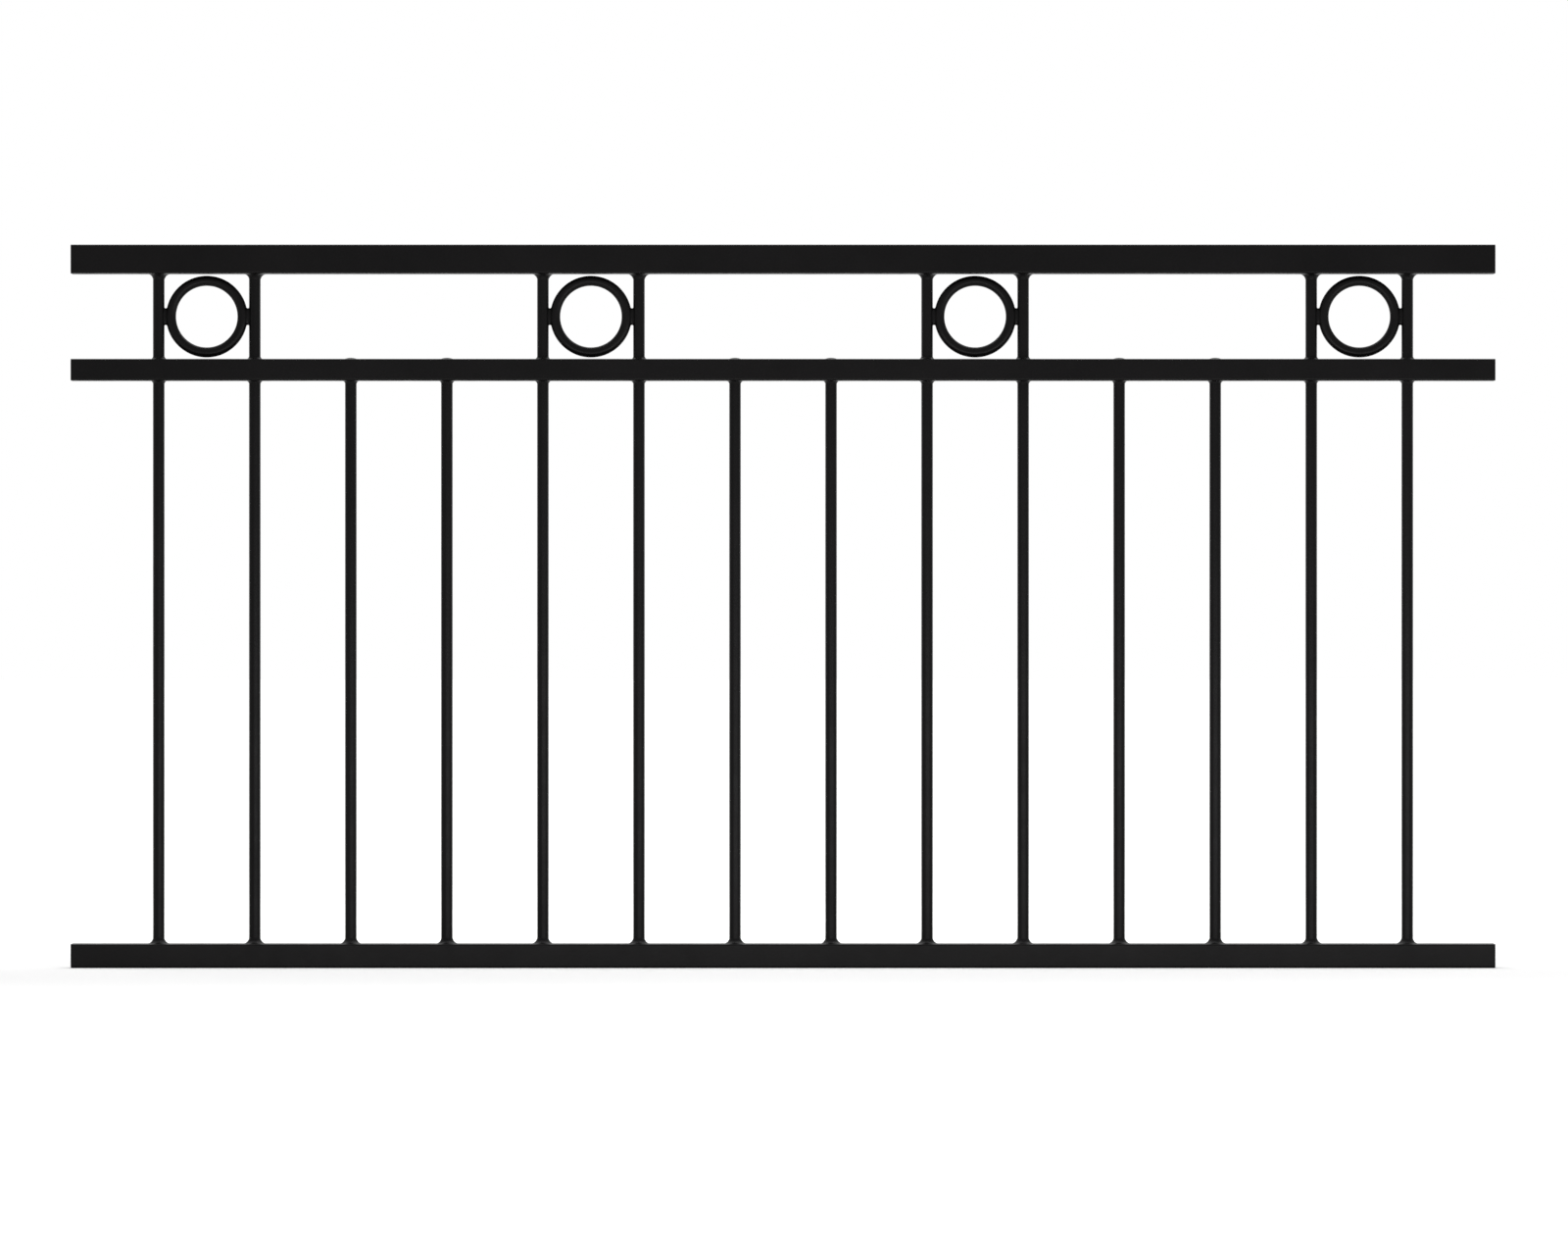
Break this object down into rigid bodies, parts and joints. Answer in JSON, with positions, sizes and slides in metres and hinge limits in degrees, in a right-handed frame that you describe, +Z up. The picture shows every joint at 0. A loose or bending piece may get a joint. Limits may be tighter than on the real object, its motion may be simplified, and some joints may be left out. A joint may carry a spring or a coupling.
{
  "type": "aluminium fence panel",
  "caption": "Welded metal fence panel with horizontal box rails, slim round upright bars and rings between paired bars under the top rail, made to hang between two posts.",
  "frame": {"origin": "lower edge of the left end of the bottom rail, at mid-depth", "axes": "+X along the rails from the left end to the right, +Y through the panel from the front to the back, +Z up"},
  "size_m": [1.97, 0.04, 1],
  "materials": {
    "black_powder_coat": "satin"
  },
  "bodies": {
    "root": {"bar_01": "black_powder_coat", "bar_02": "black_powder_coat", "bar_03": "black_powder_coat", "bar_03_weld_cap": "black_powder_coat", "bar_04": "black_powder_coat", "bar_04_weld_cap": "black_powder_coat", "bar_05": "black_powder_coat", "bar_06": "black_powder_coat", "bar_07": "black_powder_coat", "bar_07_weld_cap": "black_powder_coat", "bar_08": "black_powder_coat", "bar_08_weld_cap": "black_powder_coat", "bar_09": "black_powder_coat", "bar_10": "black_powder_coat", "bar_11": "black_powder_coat", "bar_11_weld_cap": "black_powder_coat", "bar_12": "black_powder_coat", "bar_12_weld_cap": "black_powder_coat", "bar_13": "black_powder_coat", "bar_14": "black_powder_coat", "bottom_rail": "black_powder_coat", "bottom_rail_welds": "black_powder_coat", "middle_rail": "black_powder_coat", "middle_rail_lower_welds": "black_powder_coat", "middle_rail_upper_welds": "black_powder_coat", "ring_1": "black_powder_coat", "ring_1_left_lug": "black_powder_coat", "ring_1_right_lug": "black_powder_coat", "ring_2": "black_powder_coat", "ring_2_left_lug": "black_powder_coat", "ring_2_right_lug": "black_powder_coat", "ring_3": "black_powder_coat", "ring_3_left_lug": "black_powder_coat", "ring_3_right_lug": "black_powder_coat", "ring_4": "black_powder_coat", "ring_4_left_lug": "black_powder_coat", "ring_4_right_lug": "black_powder_coat", "top_rail": "black_powder_coat", "top_rail_welds": "black_powder_coat"}
  },
  "joints": []
}
